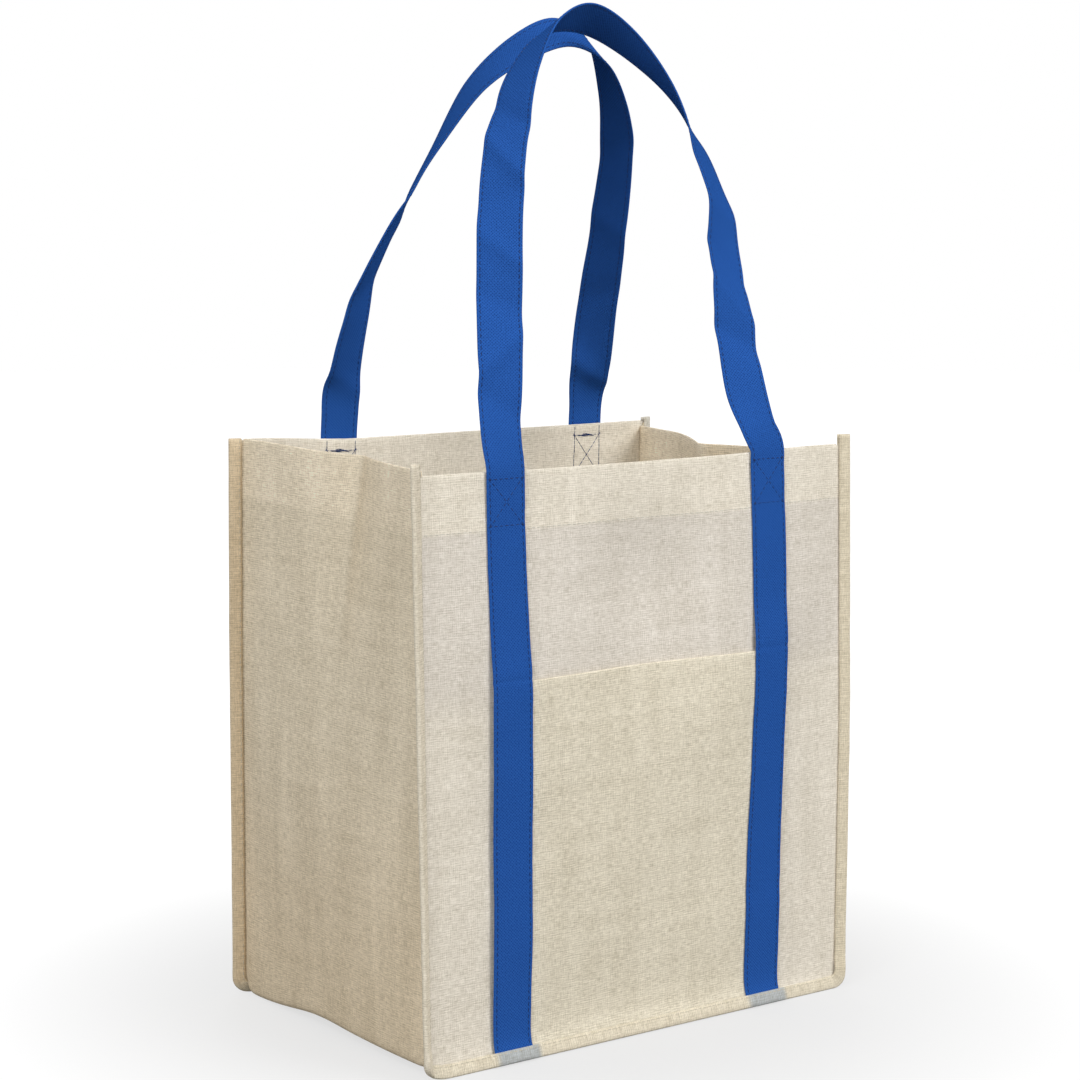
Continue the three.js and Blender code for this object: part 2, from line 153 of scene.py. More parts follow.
# Stitching
EDGE_STITCH = {"front": 0.0110, "back": 0.0100}
BOX_TOP = 0.0065
BOX_HEIGHT = 0.026
THREAD = 0.00028
SUNK = 0.00004
STITCH_LENGTH = 0.0027
STITCH_PITCH = 0.0036
SEAM_STITCH = 0.0012
THREAD_RISE = 0.00012
GROOVE_HALF = 0.0007
GROOVE_DEPTH = 0.28
GROOVE_LEVEL = 0.78
PLEAT = 0.0009
TAPE_LOOSE = 0.0002

# Mesh spacing
CELL = 0.0026
STRAP_CELL = 0.0018
TAPE_CELL = 0.0018
EDGE_TURNS = 5
TAPE_TURNS = 8
EDGE_ANGLES = np.linspace(0, math.pi, EDGE_TURNS + 1)[1:]
LOOP_SAMPLES = 30

# Print of the linen: noise layers with their repeats in each direction, detail and weight,
# and thread lines with their weight
LINEN_LAYERS = (
    ((190, 1350, 1), 2.0, 0.9), ((1350, 190, 1), 2.0, 0.65), ((1900, 1900, 1), 1.0, 0.6),
    ((40, 40, 1), 3.0, 0.15), ((14, 170, 1), 2.0, 0.24), ((170, 14, 1), 2.0, 0.20),
)
LINEN_LINES = (("Y", 0.07), ("X", 0.04))
LINEN_PITCH = 0.0013
LINEN_DARK = (0.72, 0.69, 0.62, 1)
LINEN_LIGHT = (1.26, 1.27, 1.28, 1)
EMBOSS_PITCH = 0.0019

# Camera of the photograph
CAMERA_AZIMUTH = math.radians(-36.507)
CAMERA_ELEVATION = math.radians(7.299)
CAMERA_DISTANCE = 1.6284
CAMERA_LENS = 89.83
CAMERA_AIM = (-0.00116, 0.2719 + FOOT)

# Stage: each lamp has its place and power
LAMPS = {"key": ((0.9, -2.1, 1.6), 42), "fill": ((-1.6, -0.85, 1.6), 26.5), "back": ((1.2, 2.1, 1.3), 16)}
LAMP_AIM = (0, 0, 0.3)
LAMP_SIZE = 1.5
FLOOR_RADIUS = 6.0
FLOOR_SIDES = 96


# Small helpers

def smoothstep(lo, hi, x):
    t = np.clip((np.asarray(x, float) - lo) / (hi - lo), 0, 1)
    return t * t * (3 - 2 * t)


def bell(x, centre, width):
    return np.exp(-((np.asarray(x, float) - centre) / width) ** 2)


def spaced(lo, hi, cell):
    return np.linspace(lo, hi, max(2, int(math.ceil((hi - lo) / cell)) + 1))


def waves(x, y, z, size, seed):
    """Smooth noise between about -1 and 1 with features of a given size."""
    x, y, z = np.broadcast_arrays(x, y, z)
    flat = np.stack([x.ravel(), y.ravel(), z.ravel()], 1) / size + seed * 7.31
    values = [noise.noise(Vector(p)) for p in flat]
    return np.array(values).reshape(x.shape)


def lengths_along(points):
    """Length along a line of points from its start to each of them."""
    steps = np.linalg.norm(np.diff(points, axis=0), axis=1)
    return np.concatenate([[0], np.cumsum(steps)])


# Shape of the body

def run_x(side, leg, v):
    """Middle of a strap on its panel. The right one of the front slants towards its foot."""
    x = STRAP_X[side][leg] + 0 * np.asarray(v, float)
    if side == "front" and leg == 1:
        x = x - RUN_LEAN * (1 - smoothstep(0.06, 0.27, v))
    return x


def swell(x, v):
    """How far a panel stands out between its seams."""
    across = np.clip(1 - (2 * np.abs(x) / WIDTH) ** 2.6, 0, 1)
    above = np.clip(v, 0, None)
    out = -FOOT_PINCH * (1 - np.exp(-above / 0.010)) * np.exp(-above / 0.045)
    for size, height, spread in SWELLS:
        out = out + size * bell(v, height * HEIGHT, spread * HEIGHT)
    for size, middle, width, height, spread in HOLLOWS:
        out = out - size * bell(x, middle, width) * bell(v, height * HEIGHT, spread * HEIGHT)
    return across * out


def outside_seam(x, v):
    """Signed distance from the seam line, positive on the flange."""
    dx = np.abs(x) - WIDTH / 2 + SEAM_CORNER
    dz = -np.asarray(v, float) + SEAM_CORNER
    corner = np.hypot(np.maximum(dx, 0), np.maximum(dz, 0))
    return corner + np.minimum(np.maximum(dx, dz), 0) - SEAM_CORNER


def flare(s):
    """The smooth kink from the panel into its flange."""
    return math.tan(FLANGE_TILT) * FLARE_RUN * np.logaddexp(0, np.asarray(s, float) / FLARE_RUN)


def ripples(side, x, v):
    """Shallow waves of the cloth, and puckers beside the sewn straps."""
    free = smoothstep(0.0, 0.03, -outside_seam(x, v))
    seed = 1.0 if side == "front" else 2.0
    out = 0 * x
    for (size, length), shift in ((BROAD_WAVE, 0), (MIDDLE_WAVE, 3), (FINE_WAVE, 5)):
        out = out + size * waves(x, v, 0 * x, length, seed + shift)
    for leg in (0, 1):
        beside = np.abs(np.abs(x - run_x(side, leg, v)) - STRAP_WIDTH / 2)
        rows = waves(0 * x, v, 0 * x, PUCKER[1], seed + 4 * leg)
        out = out + PUCKER[0] * rows * bell(beside, 0.0, 0.007)
    return free * out


def panel_reach(side, x, v):
    """Distance of a panel's middle layer from the middle of the bag."""
    x, v = np.broadcast_arrays(np.asarray(x, float), np.asarray(v, float))
    lean = DEPTH / 2 - LEAN * np.clip(v, 0, None) / HEIGHT
    return lean + swell(x, v) + ripples(side, x, v) + flare(outside_seam(x, v))


def corner_lift(side, x, v):
    """The left top corner of the back is pulled up a little."""
    if side == "front":
        return 0 * v
    return CORNER_LIFT * smoothstep(0.07, WIDTH / 2, -x) * np.clip(v / HEIGHT, 0, None) ** 2


def top_sag(side, x, v):
    """The top edge of the front hangs a little between the straps."""
    if side == "back":
        return 0 * v
    ends = 0.5 * smoothstep(0.05, 0.13, x) + 0.2 * smoothstep(0.07, 0.13, -x)
    return TOP_SAG * (1.05 - ends) * smoothstep(0.45 * HEIGHT, HEIGHT, v)


def settle(points):
    """How the bag stands: lower edges drawn in, left feet turned up, the front left seam turned forward."""
    p = np.array(points, float)
    # The three are views of p, so each step builds on the steps before it
    x, y, z = p.T
    front = 1 - smoothstep(-0.08, 0.02, y)
    low_front = front * np.clip(1 - z / 0.17, 0, 1)
    low_back = (1 - front) * np.clip(1 - z / HEIGHT, 0.3, 1)
    x -= EDGE_SLANT * low_front * smoothstep(0.10, WIDTH / 2, x)
    x += EDGE_SLANT / 2 * low_back * smoothstep(0.10, WIDTH / 2, -x)
    foot = bell(x, -WIDTH / 2 - FLANGE, 0.010) * (1 - smoothstep(0, 0.02, z))
    z += FOOT_TURN * (front + 0.75 * (1 - front)) * foot
    out = -WIDTH / 2 - x
    ahead = -y - DEPTH / 2 + LEAN * np.clip((z - FOOT) / HEIGHT, 0, None)
    turn = SEAM_TURN[0] + (SEAM_TURN[1] - SEAM_TURN[0]) * np.clip(z / HEIGHT, 0, 1)
    turn = turn * smoothstep(-0.001, 0.002, out) * smoothstep(-0.006, -0.003, ahead)
    x -= out * (np.cos(turn) - 1) - ahead * np.sin(turn)
    y -= ahead * (np.cos(turn) - 1) + out * np.sin(turn)
    return p


def on_panel(side, x, v, out):
    """Points on a panel, moved out by a distance."""
    x, v, out = np.broadcast_arrays(np.asarray(x, float), v, out)
    y = SIDE[side] * (panel_reach(side, x, v) + out)
    return np.stack([x, y, FOOT + v + corner_lift(side, x, v) - top_sag(side, x, v)], -1)


# Meshes

def new_object(name, data):
    obj = bpy.data.objects.new(name, data)
    bpy.context.scene.collection.objects.link(obj)
    return obj


def make_sheet(name, points, across, along, materials, keep=None, wrap=False, flip=False):
    """A grid of points as a smooth mesh. across and along are lengths on the cloth, which place its print."""
    rows, columns = points.shape[:2]
    faces = grid_faces(rows, columns, keep, wrap)
    if wrap:
        faces.append(tuple(range(columns))[::-1])
        faces.append(tuple(range((rows - 1) * columns, rows * columns)))
    if flip:
        faces = [f[::-1] for f in faces]
    mesh = bpy.data.meshes.new(name)
    mesh.from_pydata([tuple(p) for p in settle(points.reshape(-1, 3))], [], faces)
    uvs = np.stack(np.meshgrid(across, along), -1).reshape(-1, 2).astype(np.float32)
    corners = np.empty(len(mesh.loops), dtype=np.int32)
    mesh.loops.foreach_get("vertex_index", corners)
    mesh.uv_layers.new(name="cloth").data.foreach_set("uv", uvs[corners].ravel())
    for material in materials:
        mesh.materials.append(material)
    mesh.polygons.foreach_set("use_smooth", [True] * len(mesh.polygons))
    mesh.update()
    return new_object(name, mesh)


def grid_faces(rows, columns, keep, wrap):
    """Quads of a grid of points. keep is a mask of the cells that have cloth."""
    last = columns if wrap else columns - 1
    faces = []
    for r in range(rows - 1):
        for c in range(last):
            if keep is not None and not keep[r, c]:
                continue
            d = (c + 1) % columns
            faces.append((r * columns + c, r * columns + d, (r + 1) * columns + d, (r + 1) * columns + c))
    return faces


def point_mask(obj, name, values):
    """Stores a value between 0 and 1 on each point for the materials."""
    layer = obj.data.attributes.new(name, "FLOAT", "POINT")
    layer.data.foreach_set("value", np.asarray(values, dtype=np.float32).ravel())


def drop_loose(obj):
    """Removes the points of a grid that no cloth uses."""
    mesh = obj.data
    used = np.zeros(len(mesh.vertices), dtype=bool)
    corners = np.empty(len(mesh.loops), dtype=np.int32)
    mesh.loops.foreach_get("vertex_index", corners)
    used[corners] = True
    bm = bmesh.new()
    bm.from_mesh(mesh)
    bm.verts.ensure_lookup_table()
    bmesh.ops.delete(bm, geom=[bm.verts[i] for i in np.flatnonzero(~used)], context="VERTS")
    bm.to_mesh(mesh)
    bm.free()


def cloth_solid(obj, thickness, lining):
    """Gives a sheet its thickness, with another material on the back if lining is 1."""
    solid = obj.modifiers.new("thickness", "SOLIDIFY")
    solid.thickness = thickness
    solid.offset = 0.0
    solid.use_even_offset = False
    solid.material_offset = lining
    solid.material_offset_rim = 0


# Shader groups

def add_node(tree, kind, inputs=(), **settings):
    """A node with its settings, and its inputs as values or as sockets to link."""
    node = tree.nodes.new(kind)
    for key, value in settings.items():
        setattr(node, key, value)
    for key, value in dict(inputs).items():
        if isinstance(value, bpy.types.NodeSocket):
            tree.links.new(value, node.inputs[key])
        else:
            node.inputs[key].default_value = value
    return node


def new_group(name, inputs, outputs, tree_kind="ShaderNodeTree"):
    tree = bpy.data.node_groups.new(name, tree_kind)
    for socket, kind, value in inputs:
        made = tree.interface.new_socket(socket, in_out="INPUT", socket_type=kind)
        if value is not None:
            made.default_value = value
    for socket, kind in outputs:
        tree.interface.new_socket(socket, in_out="OUTPUT", socket_type=kind)
    start = tree.nodes.new("NodeGroupInput")
    end = tree.nodes.new("NodeGroupOutput")
    return tree, start.outputs, end.inputs


def math_node(tree, operation, a, b=0.0, c=0.0, clamp=False):
    node = add_node(tree, "ShaderNodeMath", {0: a, 1: b, 2: c}, operation=operation, use_clamp=clamp)
    return node.outputs[0]


def mixed_colour(tree, factor, a, b, blend="MIX"):
    mix = add_node(tree, "ShaderNodeMix", {0: factor, 6: a, 7: b}, data_type="RGBA", blend_type=blend)
    return mix.outputs[2]


def mapped(tree, value, lo, hi, to_lo=0.0, to_hi=1.0, kind="LINEAR"):
    ends = {"From Min": lo, "From Max": hi, "To Min": to_lo, "To Max": to_hi}
    return add_node(tree, "ShaderNodeMapRange", {"Value": value, **ends}, interpolation_type=kind).outputs[0]


def stretched_noise(tree, vector, scale, detail):
    moved = add_node(tree, "ShaderNodeMapping", {"Vector": vector, "Scale": scale}).outputs[0]
    cloudy = add_node(tree, "ShaderNodeTexNoise", {"Vector": moved, "Scale": 1.0, "Detail": detail})
    return cloudy.outputs["Fac"]


def speckles(tree, scale, detail):
    place = add_node(tree, "ShaderNodeTexCoord").outputs["Object"]
    return stretched_noise(tree, place, (scale, scale, scale), detail)


def linen_print_group():
    """A printed linen weave: slubs along and across the cloth, with soft streaks and blotches."""
    tree, start, end = new_group(
        "linen_print",
        [("Cloth", "NodeSocketVector", None), ("Tone", "NodeSocketColor", (0.7, 0.65, 0.55, 1)),
         ("Contrast", "NodeSocketFloat", 1.0), ("Streak", "NodeSocketFloat", 0.2)],
        [("Color", "NodeSocketColor"), ("Height", "NodeSocketFloat")])
    cloth = start["Cloth"]
    split = add_node(tree, "ShaderNodeSeparateXYZ", {0: cloth})
    drift = math_node(tree, "MULTIPLY", stretched_noise(tree, cloth, (45, 45, 1), 1.0), 9.0)
    threads = 0.0
    for axis, weight in LINEN_LINES:
        turn = math_node(tree, "MULTIPLY_ADD", split.outputs[axis], 2 * math.pi / LINEN_PITCH, drift)
        threads = math_node(tree, "MULTIPLY_ADD", math_node(tree, "SINE", turn), weight, threads)
    for scale, detail, weight in LINEN_LAYERS:
        centred = math_node(tree, "SUBTRACT", stretched_noise(tree, cloth, scale, detail), 0.5)
        threads = math_node(tree, "MULTIPLY_ADD", centred, weight, threads)
    streak = math_node(tree, "SUBTRACT", stretched_noise(tree, cloth, (45, 6, 1), 2.0), 0.5)
    streak = math_node(tree, "MULTIPLY", streak, start["Streak"])
    fine = math_node(tree, "MULTIPLY_ADD", threads, start["Contrast"], streak)
    factor = math_node(tree, "ADD", fine, 0.5, clamp=True)
    shade = mixed_colour(tree, factor, LINEN_DARK, LINEN_LIGHT)
    colour = mixed_colour(tree, 1.0, start["Tone"], shade, "MULTIPLY")
    tree.links.new(colour, end["Color"])
    tree.links.new(threads, end["Height"])
    return tree


def emboss_group():
    """The staggered dots that are pressed into spunbond cloth."""
    tree, start, end = new_group(
        "spunbond_emboss",
        [("Cloth", "NodeSocketVector", None), ("Pitch", "NodeSocketFloat", EMBOSS_PITCH)],
        [("Dot", "NodeSocketFloat"), ("Fibre", "NodeSocketFloat")])
    split = add_node(tree, "ShaderNodeSeparateXYZ", {0: start["Cloth"]})
    phases = []
    for axis in ("X", "Y"):
        turn = math_node(tree, "DIVIDE", split.outputs[axis], start["Pitch"])
        phases.append(math_node(tree, "COSINE", math_node(tree, "MULTIPLY", turn, 2 * math.pi)))
    product = math_node(tree, "MULTIPLY", *phases)
    tree.links.new(mapped(tree, product, 0.25, 0.75, kind="SMOOTHSTEP"), end["Dot"])
    tree.links.new(stretched_noise(tree, start["Cloth"], (800, 800, 1), 3.0), end["Fibre"])
    return tree


LINEN = linen_print_group()
EMBOSS = emboss_group()


# Materials

def blank_material(name, roughness, specular=0.2):
    material = bpy.data.materials.new(name)
    material.use_nodes = True
    shader = material.node_tree.nodes["Principled BSDF"]
    shader.inputs["Roughness"].default_value = roughness
    shader.inputs["Specular IOR Level"].default_value = specular
    return material, material.node_tree, shader


def cloth_vector(tree):
    return add_node(tree, "ShaderNodeUVMap", uv_map="cloth").outputs[0]


def bumped(tree, shader, height, strength, distance):
    bump = add_node(tree, "ShaderNodeBump", {"Height": height, "Strength": strength, "Distance": distance})
    tree.links.new(bump.outputs[0], shader.inputs["Normal"])


def linen_material(name, tone, masks, contrast, streak=0.2):
    """Printed cloth. Each mask names a point attribute and the tone that shows where it is 1."""
    material, tree, shader = blank_material(name, 0.85)
    shown = (*tone, 1)
    for attribute, other in masks:
        amount = add_node(tree, "ShaderNodeAttribute", attribute_name=attribute).outputs["Fac"]
        shown = mixed_colour(tree, amount, shown, (*other, 1))
    values = {"Cloth": cloth_vector(tree), "Tone": shown, "Contrast": contrast, "Streak": streak}
    group = add_node(tree, "ShaderNodeGroup", values, node_tree=LINEN)
    tree.links.new(group.outputs["Color"], shader.inputs["Base Color"])
    bumped(tree, shader, group.outputs["Height"], 0.4, 0.0003)
    return material


def spunbond_material(name, colour, deep, roughness):
    """Plain dyed spunbond with pressed dots and a faint fibre grain."""
    material, tree, shader = blank_material(name, roughness, 0.0)
    values = {"Cloth": cloth_vector(tree), "Pitch": EMBOSS_PITCH}
    group = add_node(tree, "ShaderNodeGroup", values, node_tree=EMBOSS).outputs
    grain = math_node(tree, "MULTIPLY", group["Fibre"], 0.65)
    shade = math_node(tree, "MULTIPLY_ADD", group["Dot"], 0.52, grain)
    tree.links.new(mixed_colour(tree, shade, (*colour, 1), (*deep, 1)), shader.inputs["Base Color"])
    raised = math_node(tree, "MULTIPLY_ADD", group["Dot"], -1.0, group["Fibre"])
    bumped(tree, shader, raised, 0.6, 0.00012)
    return material


def thread_material(name, colour):
    material, tree, shader = blank_material(name, 0.55)
    dark = tuple(0.6 * c for c in colour)
    tone = mixed_colour(tree, speckles(tree, 2500, 2.0), (*dark, 1), (*colour, 1))
    tree.links.new(tone, shader.inputs["Base Color"])
    return material


def board_material():
    material, tree, shader = blank_material("stiff_board", 0.6)
    speck = speckles(tree, 700, 3.0)
    tone = mixed_colour(tree, speck, (0.34, 0.31, 0.26, 1), (0.50, 0.46, 0.39, 1))
    tree.links.new(tone, shader.inputs["Base Color"])
    bumped(tree, shader, speck, 0.2, 0.0002)
    return material


# Painted light through the cloth: the single cloth's greyer tone stands for light from inside the bag shining
# through it, and the warmer tones of the hems and the lower panel stand for less light coming through there.
SINGLE_TONE = (0.728, 0.677, 0.610)
LESS_LIT_THROUGH_TONE = (0.80, 0.742, 0.642)
POCKET_TONE = (0.75, 0.69, 0.565)
SIDE_TONE = (0.84, 0.745, 0.585)
SIDE_HEM_TONE = (0.93, 0.825, 0.655)
# Painted shade: the lower sides are darker and warmer where less light from inside the bag shines through the
# cloth.
SIDE_LOW_LESS_LIT_THROUGH_TONE = (0.80, 0.68, 0.505)
# Painted shade in front of the side creases.
SIDE_FOLD_SHADE_TONE = (0.80, 0.675, 0.49)
TAPE_TONE = (0.70, 0.625, 0.485)
TAPE_LEFT_TONE = (0.73, 0.66, 0.54)
# Painted highlight along the folded edge of the tape.
TAPE_NOSE_HIGHLIGHT_TONE = (0.92, 0.85, 0.72)
TAPE_FOOT_TONE = (0.70, 0.635, 0.51)
BACK_TAPE_TONE = (0.74, 0.605, 0.425)
BACK_RIGHT_TONE = (0.71, 0.68, 0.61)
TUCK_TONE = (0.43, 0.45, 0.455)

panel_cloth = linen_material("linen_print_panel", SINGLE_TONE, [("less_lit_through", LESS_LIT_THROUGH_TONE)], 1.35, 0.3)
side_masks = [("low", SIDE_LOW_LESS_LIT_THROUGH_TONE), ("less_lit_through", SIDE_HEM_TONE), ("fold", SIDE_FOLD_SHADE_TONE)]
side_cloth = linen_material("linen_print_side", SIDE_TONE, side_masks, 1.65, 0.6)
pocket_cloth = linen_material("linen_print_pocket", POCKET_TONE, (), 1.5, 0.3)
tape_masks = [("left", TAPE_LEFT_TONE), ("edge", TAPE_NOSE_HIGHLIGHT_TONE), ("foot", TAPE_FOOT_TONE),
              ("tucked", TUCK_TONE)]
tape_cloth = linen_material("linen_print_tape", TAPE_TONE, tape_masks, 1.5)
back_tape_masks = [("right", BACK_RIGHT_TONE), ("foot", TAPE_TONE), ("tucked", TUCK_TONE)]
back_tape_cloth = linen_material("linen_print_back_tape", BACK_TAPE_TONE, back_tape_masks, 1.5)
lining_cloth = spunbond_material("pale_lining", (0.80, 0.75, 0.66), (0.70, 0.64, 0.54), 0.85)
strap_cloth = spunbond_material("royal_blue_spunbond", (0.030, 0.131, 0.490), (0.009, 0.041, 0.185), 0.7)
navy_thread = thread_material("navy_thread", (0.009, 0.038, 0.155))
tan_thread = thread_material("tan_thread", (0.70, 0.625, 0.49))
beige_thread = thread_material("beige_thread", (0.80, 0.75, 0.65))
stiff_board = board_material()


# Panels

def hem_turn():
    """Steps round the turned edge of a hem, from its outer to its inner layer: inward and up."""
    return [(LAYER / 2 * (1 - math.cos(a)), LAYER / 2 * math.sin(a)) for a in EDGE_ANGLES]


def hemmed(side, outer, hem):
    """Joins the outer cloth and its hem by the turned edge between them."""
    edge = [outer[-1] + np.array([0, -SIDE[side] * inward, up]) for inward, up in hem_turn()]
    return np.concatenate([outer, edge, hem])


def hemmed_lengths(up, down):
    """The cloth's own lengths up the outer side, round the turned edge and down the hem."""
    return np.concatenate([up, up[-1] + LAYER / 2 * EDGE_ANGLES, up[-1] + LAYER / 2 * math.pi + down])


def make_panel(side):
    """One panel with its flange and its turned-in hem, as one piece of cloth."""
    drop = FLANGE * math.cos(FLANGE_TILT)
    half = WIDTH / 2 + drop
    across = spaced(-half, half, CELL)
    up = spaced(-drop, HEIGHT, CELL)
    down = spaced(0, HEM, CELL)[1:]
    x, v = np.meshgrid(across, up)
    corner_x = np.clip((np.abs(x) - half) / OUTLINE_CORNER + 1, 0, 1)
    corner_v = np.clip((-drop - v) / OUTLINE_CORNER + 1, 0, 1)
    round_x = corner_x * np.sqrt(1 - corner_v ** 2 / 2)
    round_v = corner_v * np.sqrt(1 - corner_x ** 2 / 2)
    x = np.sign(x) * (np.abs(x) + (round_x - corner_x) * OUTLINE_CORNER)
    v = v - (round_v - corner_v) * OUTLINE_CORNER
    hem_x, hem_down = np.meshgrid(across, down)
    points = hemmed(side, on_panel(side, x, v, 0), on_panel(side, hem_x, HEIGHT - hem_down, -LAYER))
    length = hemmed_lengths(up, down)

    centres = (across[:-1] + across[1:]) / 2
    keep = np.ones((len(length) - 1, len(across) - 1), dtype=bool)
    keep[len(up) - 1:, np.abs(centres) > WIDTH / 2 - HEM_TRIM] = False
    panel = make_sheet(side + "_panel_cloth", points, across, length, [panel_cloth, lining_cloth], keep,
                       flip=side == "back")
    # Painted light through the cloth: the doubled hem and the lower panel, where less light from inside the
    # bag shines through, take a warmer tone than the greyer single cloth above.
    less_lit_through = smoothstep(HEIGHT - HEM_LINE - 0.001, HEIGHT - HEM_LINE + 0.001, length)
    lower_less_lit_through = 0.75 * (1 - smoothstep(0.185, 0.215, length))
    point_mask(panel, "less_lit_through", np.repeat(np.maximum(less_lit_through, lower_less_lit_through), len(across)))
    drop_loose(panel)
    cloth_solid(panel, CLOTH, 1)
    return panel


# Gusset

def side_fold(left, y, v):
    """How far a side is pushed in. The crease is soft, more so on the left, and fades out downwards."""
    depth = np.where(left, FOLD_LEFT, FOLD_RIGHT)
    rise = np.clip((v - FOLD_START) / (HEIGHT - FOLD_START), 0, 1) ** np.where(left, 2.0, 1.4)
    reach = DEPTH / 2 - LEAN * v / HEIGHT
    soft = np.where(left, 0.0035, 0.0030) + 0.014 * (1 - rise)
    away = np.sqrt(y * y + soft * soft) - soft
    slope = np.clip(1 - away / reach, 0, 1)
    return depth * rise * (0.72 * slope + 0.28 * slope * np.exp(-away / 0.018))


def fold_sag(t, x, v):
    """How far the strip hangs down where a side turns into the bottom. t runs from front to back."""
    seam = 1 - np.abs(t) ** (70 if t > 0 else 24)
    near = smoothstep(WIDTH / 2 - 0.050, WIDTH / 2 - 0.004, np.abs(x)) * (1 - smoothstep(0, 0.05, v))
    return seam * near * FOLD_SAG * (1 - 0.48 * bell(t, 0.13, 0.34) + 0.75 * smoothstep(0.2, 0.9, t))


def side_dip(t, x, v):
    """The top of the right side hangs lower than its corners, most of all past the crease."""
    past = 0.95 * (1 - smoothstep(-0.10, 0.48, t)) * (1 - 0.5 * smoothstep(0.4, 1.0, -t))
    return SIDE_DIP * (1 + past) * (x > 0) * smoothstep(0.55 * HEIGHT, HEIGHT, v)


def seam_path(cell, corner_turns, left_top=0.0, right_top=0.0):
    """Stops from the left top down, along the bottom and up to the right top, and the way out at each."""
    r = SEAM_CORNER
    end = WIDTH / 2 - r
    angles = np.linspace(0, math.pi / 2, corner_turns + 1)[1:-1]
    corner = [(end + r * math.cos(a), r - r * math.sin(a), math.cos(a), -math.sin(a)) for a in angles]
    left = [(-WIDTH / 2, v, -1.0, 0.0) for v in spaced(r, HEIGHT + left_top, cell)[::-1]]
    left += [(-x, v, -out_x, out_z) for x, v, out_x, out_z in corner]
    bottom = [(x, 0.0, 0.0, -1.0) for x in spaced(-end, end, cell)]
    right = [(WIDTH / 2, v, 1.0, 0.0) for v in spaced(r, HEIGHT + right_top, cell)]
    return np.array(left + bottom + corner[::-1] + right)


def make_gusset():
    """The strip of both sides and the bottom, with its flanges and the hems at both ends."""
    path = seam_path(CELL, EDGE_TURNS)
    hem = hem_turn() + [(LAYER * 1.15, -down) for down in spaced(0, HEM, CELL)[1:]]
    stops = np.concatenate([[path[0]] * len(hem), path, [path[-1]] * len(hem)])
    shifts = np.concatenate([hem[::-1], np.zeros((len(path), 2)), hem])
    in_hem = np.concatenate([np.ones(len(hem)), np.zeros(len(path)), np.ones(len(hem))])
    flange = np.linspace(0, FLANGE, 4)[1:]
    wall = np.linspace(-1, 1, int(DEPTH / CELL))
    columns = len(wall) + 2 * len(flange)

    x, v, out_x, out_z = stops.T
    v = v + np.minimum(shifts[:, 1], 0)
    lift = np.maximum(shifts[:, 1], 0)
    left = x < 0
    upright = np.abs(out_x)
    raised = corner_lift("back", x, v)
    lean = DEPTH / 2 - LEAN * v / HEIGHT - LAYER
    points = np.zeros((len(stops), columns, 3))
    for column, t in enumerate(wall, len(flange)):
        y = t * (lean + flare(0.0))
        push = side_fold(left, y, v) + shifts[:, 0]
        bow = SIDE_BOW[0] * bell(v, SIDE_BOW[1] * HEIGHT, SIDE_BOW[2] * HEIGHT)
        for size, length, seed in SIDE_WAVES:
            bow = bow + size * waves(np.where(left, 11.0, 17.0), y, v, length, seed)
        out = (1 - t ** 2) * upright * bow - push * (upright > 0.999)
        z = FOOT + v + lift + out_z * out + smoothstep(0, 1, t) * raised
        z = z - fold_sag(t, x, v) - side_dip(t, x, v)
        points[:, column] = np.stack([x + out_x * out, y, z], 1)
    for k, s in enumerate(flange):
        flat = s * math.cos(FLANGE_TILT)
        for column, sign in ((len(flange) - 1 - k, -1), (len(flange) + len(wall) + k, 1)):
            z = FOOT + v + out_z * flat + (sign > 0) * raised
            points[:, column] = np.stack([x + out_x * flat, sign * (lean + flare(flat)), z], 1)

    along = lengths_along(points[:, columns // 2])
    spread = np.concatenate([-DEPTH / 2 - flange[::-1], wall * DEPTH / 2, DEPTH / 2 + flange])
    keep = np.ones((len(stops) - 1, columns - 1), dtype=bool)
    for rows in (slice(0, len(hem)), slice(-len(hem), None)):
        keep[rows, :len(flange)] = False
        keep[rows, -len(flange):] = False
    gusset = make_sheet("gusset_cloth", points, spread, along, [side_cloth, lining_cloth], keep)
    # Painted light through the cloth: the doubled hem lets less light from inside the bag through, so it
    # takes a warmer, lighter tone.
    near_top = np.maximum(in_hem, smoothstep(HEIGHT - HEM - 0.001, HEIGHT - HEM + 0.001, v))
    point_mask(gusset, "less_lit_through", np.repeat(near_top, columns))
    # Painted shade: the lower part of each side takes a darker, warmer tone, as less light from inside the
    # bag shines through the cloth there.
    point_mask(gusset, "low", np.repeat(1 - smoothstep(0.02, 0.20, v), columns))
    # Painted shade: a darker tan band on each side just in front of its crease, where that face of the fold
    # turns away from the light.
    past = np.clip(-points[:, :, 1], 0, None)
    shaded = smoothstep(0, 0.010, past) * np.exp(-past / 0.030) * smoothstep(0.19, 0.31, v)[:, None]
    point_mask(gusset, "fold", shaded)
    drop_loose(gusset)
    cloth_solid(gusset, CLOTH, 1)
    return gusset


# Pocket

def pocket_out(v):
    return LAYER * (1 + smoothstep(0, 0.06, v))


